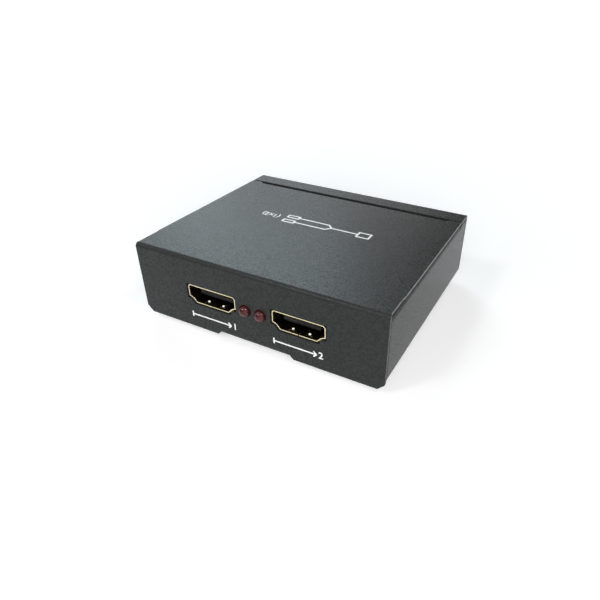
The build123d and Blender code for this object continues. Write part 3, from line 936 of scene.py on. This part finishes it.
lampLook = {
    "domeSteps": 10,
    "domeTip": 0.02 * mm,
    "backRound": 0.12 * mm,
    "wire": 0.42 * mm,
    "wireFrom": 0.1 * mm,
    "cupFrom": 1.9 * mm,
    "cupTo": 2.5 * mm,
    "cupRim": 0.1 * mm,
    "cupRadius": 0.55 * mm,
    "cupWall": 0.1 * mm,
    "cupDepth": 0.25 * mm,
    "cupAside": -0.35 * mm,
    "bladeAside": 0.75 * mm,
    "bladeHeight": 1.4 * mm,
    "bladeLean": (-0.3 * mm, 0, 0.35 * mm),
    "bladeRound": 0.04 * mm,
    "lensSmooth": 50,  # degrees
    "frameSmooth": 32,
}


def lensProfile(radius, length, look):
    profile = [(0, radius - look["backRound"]), (look["backRound"], radius), (length - radius, radius)]
    for step in range(1, look["domeSteps"]):
        angle = flatTurn * step / look["domeSteps"]
        profile.append((length - radius + radius * math.sin(angle), radius * math.cos(angle)))
    profile.append((length, look["domeTip"]))
    return profile


def makeLampFrame(name, look):  # cup on one wire, a blade on the other, up Z from the lens's back
    half, wide = look["wire"] / 2, look["cupRadius"]
    profile = [
        (look["wireFrom"], half), (look["cupFrom"], half),
        (look["cupTo"], wide), (look["cupTo"] + look["cupRim"], wide),
    ]
    cup = turned(name, profile, vertices=24)
    editFaces(cup, lambda centre, normal: normal.z > 0.9)
    bpy.ops.mesh.inset(thickness=look["cupWall"])
    bpy.ops.transform.translate(value=(0, 0, -look["cupDepth"]))
    endEdit()
    placed(cup, (look["cupAside"], 0, 0))
    deselectAll()
    foot = (look["bladeAside"], 0, look["wireFrom"] + half)
    bpy.ops.mesh.primitive_cube_add(size=look["wire"], location=foot)
    blade = bpy.context.object
    bpy.ops.object.transform_apply(location=True, rotation=True, scale=True)
    editFaces(blade, lambda centre, normal: normal.z > 0.9)
    bpy.ops.mesh.extrude_region_move(TRANSFORM_OT_translate={"value": (0, 0, look["bladeHeight"])})
    bpy.ops.mesh.extrude_region_move(TRANSFORM_OT_translate={"value": look["bladeLean"]})
    endEdit()
    roundEdges(blade, look["bladeRound"])
    piece = joined([cup, blade], name)
    smoothShade(piece, look["frameSmooth"], weighted=False)
    return piece


for number in (1, 2):
    nodeName = f"lamp_{number}"
    low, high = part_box(nodeName)
    back = ((low.x + high.x) / 2, high.y, (low.z + high.z) / 2)
    lens = turned(f"lampLens{number}", lensProfile((high.x - low.x) / 2, high.y - low.y, lampLook))
    placed(lens, back, (flatTurn, 0, 0))
    smoothShade(lens, lampLook["lensSmooth"], weighted=False)
    finished(lens, lampRed, [nodeName])
    wires = makeLampFrame(f"lampFrame{number}", lampLook)
    placed(wires, back, (flatTurn, 0, 0))
    finished(wires, metals["platedSteel"])
print("lamps made")


# Small rigid pieces that only need their edges softened

softened = {  # node: piece, slot, how far its edges are rounded, and in how many steps
    "rubber_feet": ("rubberFeet", "foot_rubber", 0.45 * mm, 4),
    "cover_screws": ("coverScrews", "screw_steel", 0.12 * mm, 3),
    "power_jack_body": ("powerJackBody", "black_moulding", 0.15 * mm, 3),
    "power_jack_pin": ("powerJackPin", "plated_steel", 0.12 * mm, 3),
    "storage_capacitors": ("storageCapacitors", "can_aluminium", 0.15 * mm, 3),
    "clock_crystal": ("clockCrystal", "can_aluminium", 0.25 * mm, 3),
    "power_inductor": ("powerInductor", "chip_black", 0.2 * mm, 3),
}
for nodeName, (pieceName, slot, width, segments) in softened.items():
    soft = cleanCopy(nodeName, pieceName)
    roundEdges(soft, width, segments)
    smoothShade(soft)
    finished(soft, slotMaterials[slot], [nodeName])
print("small pieces softened")


# Printed marks: a number and an arrow under each front socket, a branching line on the top

markLook = {
    "ink": 0.007 * mm,
    "inkStep": 0.4,  # crossing strokes differ in height, so no two films lie in one plane
    "numberHeight": 1.85 * mm,
    "numberWeight": 0.05 * mm,
    "numberInset": 0.35,  # shares of the number's height
    "arrowHead": 0.36,
    "digitShare": 0.69,  # a digit's height in a letter size of 1
    "stroke": 0.42 * mm,
    "portMarks": {"1": (-12.1 * mm, 14.3 * mm), "2": (12.8 * mm, 13.9 * mm)},
    "portMarkZ": 5.3 * mm,
}
topMarkLook = {
    "middle": (-0.5 * mm, 2.95 * mm),
    "width": 34 * mm,
    "height": 4.4 * mm,
    "numbers": "(1x2)",
    "numberHeight": 1.9 * mm,
    "stroke": 0.54 * mm,
    "screenWidth": 0.8,  # shares of the mark's height
    "firstScreenHeight": 0.6,
    "screenHeight": 0.32,
    "branchHeight": 0.34,
    "numberGap": 0.5,
    "fork": 0.4,  # share of the way between the screens
}


def inkBar(start, end, width, ink):  # a stroke between two points of the XY plane, with rounded ends
    start, end = Vector((*start, 0)), Vector((*end, 0))
    run = end - start
    deselectAll()
    bpy.ops.mesh.primitive_circle_add(vertices=16, radius=width / 2, fill_type="NGON", location=(0, 0, 0))
    bar = bpy.context.object
    clearSelection(bar, "VERT")
    for vertex in bar.data.vertices:
        vertex.select = vertex.co.x > 0
    startEdit()
    bpy.ops.transform.translate(value=(run.length, 0, 0))
    bpy.ops.mesh.select_all(action="SELECT")
    bpy.ops.mesh.extrude_region_move(TRANSFORM_OT_translate={"value": (0, 0, ink)})
    endOutwards()
    return placed(bar, start, (0, 0, math.atan2(run.y, run.x)))


def inkBars(strokes, width, look):  # strokes are (start, end, how many steps its ink is thicker)
    bars = []
    for start, end, level in strokes:
        bars.append(inkBar(start, end, width, look["ink"] * (1 + look["inkStep"] * level)))
    return bars


def inkNumber(body, height, look):
    deselectAll()
    bpy.ops.object.text_add(location=(0, 0, 0))
    text = bpy.context.object
    text.data.body = body
    text.data.size = height / look["digitShare"]
    text.data.align_x = "CENTER"
    text.data.align_y = "CENTER"
    text.data.extrude = look["ink"] / 2
    text.data.offset = look["numberWeight"]
    bpy.ops.object.convert(target="MESH")
    piece = bpy.context.object
    placed(piece, (0, 0, look["ink"] / 2))
    editAll(piece)
    bpy.ops.mesh.remove_doubles(threshold=1e-7)
    endOutwards()
    return piece


def makePortMark(body, middleX, width, look):  # an arrow that ends at the number
    half, tall = width / 2, look["numberHeight"]
    start, tip, head = -half + look["stroke"] / 2, half - tall, tall * look["arrowHead"]
    strokes = [
        ((start, 0), (tip, 0), 0),
        ((tip, 0), (tip - head, head), 1),
        ((tip, 0), (tip - head, -head), 2),
        ((start, -head), (start, head), 1),
    ]
    number = inkNumber(body, tall, look)
    placed(number, (half - tall * look["numberInset"], 0, 0))
    mark = joined(inkBars(strokes, look["stroke"], look) + [number], f"portMark{body}")
    placed(mark, (middleX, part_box("cover")[0].y, look["portMarkZ"]), (flatTurn, 0, 0))
    finished(mark, inks["portInk"])


def screenStrokes(x, y, width, height):
    left, right, foot, top = x - width / 2, x + width / 2, y - height / 2, y + height / 2
    corners = [(left, foot), (right, foot), (right, top), (left, top), (left, foot)]
    return [(corners[index], corners[index + 1], index % 2) for index in range(4)]


def makeTopMark(look, inkLook):  # one screen branches to two, then the numbers, read from the rear
    half, tall = look["width"] / 2, look["height"]
    screenWidth, screenHeight = tall * look["screenWidth"], tall * look["screenHeight"]
    numbers = inkNumber(look["numbers"], look["numberHeight"], inkLook)
    numberWidth = numbers.dimensions.x
    placed(numbers, (half - numberWidth / 2, 0, 0))
    left = -half + screenWidth / 2
    right = half - numberWidth - tall * look["numberGap"]
    fork = left + (right - left) * look["fork"]
    rise = tall * look["branchHeight"]
    strokes = screenStrokes(left, 0, screenWidth, tall * look["firstScreenHeight"])
    strokes.append(((left + screenWidth / 2, 0), (fork, 0), 0))
    for branch, level in ((-rise, 1), (rise, 2)):
        strokes.append(((fork, 0), (fork + rise, branch), level))
        strokes.append(((fork + rise, branch), (right - screenWidth, branch), 0))
        strokes += screenStrokes(right - screenWidth / 2, branch, screenWidth, screenHeight)
    mark = joined(inkBars(strokes, look["stroke"], inkLook) + [numbers], "topMark")
    placed(mark, (*look["middle"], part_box("cover")[1].z), (0, 0, math.pi))
    finished(mark, inks["topInk"])


for body, (middleX, markWidth) in markLook["portMarks"].items():
    makePortMark(body, middleX, markWidth, markLook)
makeTopMark(topMarkLook, markLook)
print("marks printed")


# Floor, lamps and surroundings

stageLook = {
    "floorHalf": 6.0,
    "floorColour": (0.82, 0.82, 0.82, 1),
    "floorRoughness": 0.9,
    "floorLift": 0.35,  # how far the sheet is lifted to white near the object
    "farLift": 1.0,
    "nearReach": 0.08,
    "farReach": 0.75,
    "worldLevel": 0.0,
    "aim": (0, 0, 0.01),
    "lights": {  # place, size, power, colour, and whether reflections see the lamp itself
        "behindLeftHigh": ((-0.384, 0.500, 0.493), (0.3, 0.3), 1.48, (0.75, 0.93, 1), True),
        "behindLeftLow": ((-0.576, 0.450, 0.325), (0.3, 0.3), 0.4, (0.75, 0.93, 1), True),
        "ceilingRight": ((0.433, -0.104, 0.665), (0.12, 0.12), 0.9, (1, 1, 1), True),
        "ceilingLeft": ((-0.281, -0.441, 0.606), (0.12, 0.12), 0.9, (1, 1, 1), True),
        "frontRight": ((0.47, -0.814, 0.342), (1.0, 0.8), 15.5, (1, 1, 1), False),
        "frontLeft": ((-0.453, -0.785, 0.423), (0.8, 0.6), 2.0, (1, 1, 1), False),
    },
    "cardAim": (0, 0, 0.02),
    "darkCards": {  # place and size of the room's dark sides, seen in the top and in the front bend
        "darkCardBack": ((0.044, 0.633, 0.36), (0.4, 0.4)),
        "darkCardFront": ((-0.662, -1.086, 0.259), (2.2, 0.55)),
    },
}


def makeFloor(look):
    deselectAll()
    bpy.ops.mesh.primitive_plane_add(size=look["floorHalf"] * 2, location=(0, 0, 0))
    floor = bpy.context.object
    floor.name = floor.data.name = "floorSheet"
    material, tree, shader = newMaterial("floorPaper")
    away = addNode(tree, "ShaderNodeVectorMath", {"operation": "LENGTH"})
    feed(tree, away.inputs[0], objectPlace(tree))
    reach = (look["nearReach"], look["farReach"])
    lift = spread(tree, away.outputs["Value"], *reach, look["floorLift"], look["farLift"])
    feedAll(tree, shader.inputs, {
        "Base Color": look["floorColour"],
        "Roughness": look["floorRoughness"],
        "Specular IOR Level": 0,
        "Emission Color": (1, 1, 1, 1),
        "Emission Strength": mathNode(tree, "MULTIPLY", backdropRays(tree), lift),
    })
    floor.data.materials.append(material)


def makeWorld(look):  # white to the camera and in reflections, dark to all other rays
    world = bpy.data.worlds.new("studio")
    bpy.context.scene.world = world
    world.use_nodes = True
    tree = world.node_tree
    background = next(node for node in tree.nodes if node.type == "BACKGROUND")
    feedAll(tree, background.inputs, {
        "Color": (1, 1, 1, 1),
        "Strength": spread(tree, backdropRays(tree), 0.0, 1.0, look["worldLevel"], 1.0),
    })


def addSoftbox(name, aim, place, size, power, colour, inReflections):
    deselectAll()
    turn = (Vector(aim) - Vector(place)).to_track_quat("-Z", "Y").to_euler()
    bpy.ops.object.light_add(type="AREA", location=place, rotation=turn)
    light = bpy.context.object
    light.name = name
    light.data.shape = "RECTANGLE"
    light.data.size, light.data.size_y = size
    light.data.energy = power
    light.data.color = colour
    light.visible_glossy = inReflections


def makeCardBlack():
    material, tree, shader = newMaterial("cardBlack")
    feedAll(tree, shader.inputs, {"Base Color": (0, 0, 0, 1), "Specular IOR Level": 0})
    return material


def addDarkCard(name, aim, place, size, material):  # only reflections see it
    deselectAll()
    turn = (Vector(aim) - Vector(place)).to_track_quat("Z", "Y").to_euler()
    bpy.ops.mesh.primitive_plane_add(size=1, location=place, rotation=turn)
    card = bpy.context.object
    card.name = card.data.name = name
    card.scale = (*size, 1)
    card.data.materials.append(material)
    card.visible_camera = card.visible_diffuse = card.visible_transmission = card.visible_shadow = False


makeFloor(stageLook)
makeWorld(stageLook)
cardBlack = makeCardBlack()
for cardName, cardLook in stageLook["darkCards"].items():
    addDarkCard(cardName, stageLook["cardAim"], *cardLook, cardBlack)
for lightName, lightLook in stageLook["lights"].items():
    addSoftbox(lightName, stageLook["aim"], *lightLook)
print("floor and lights placed")
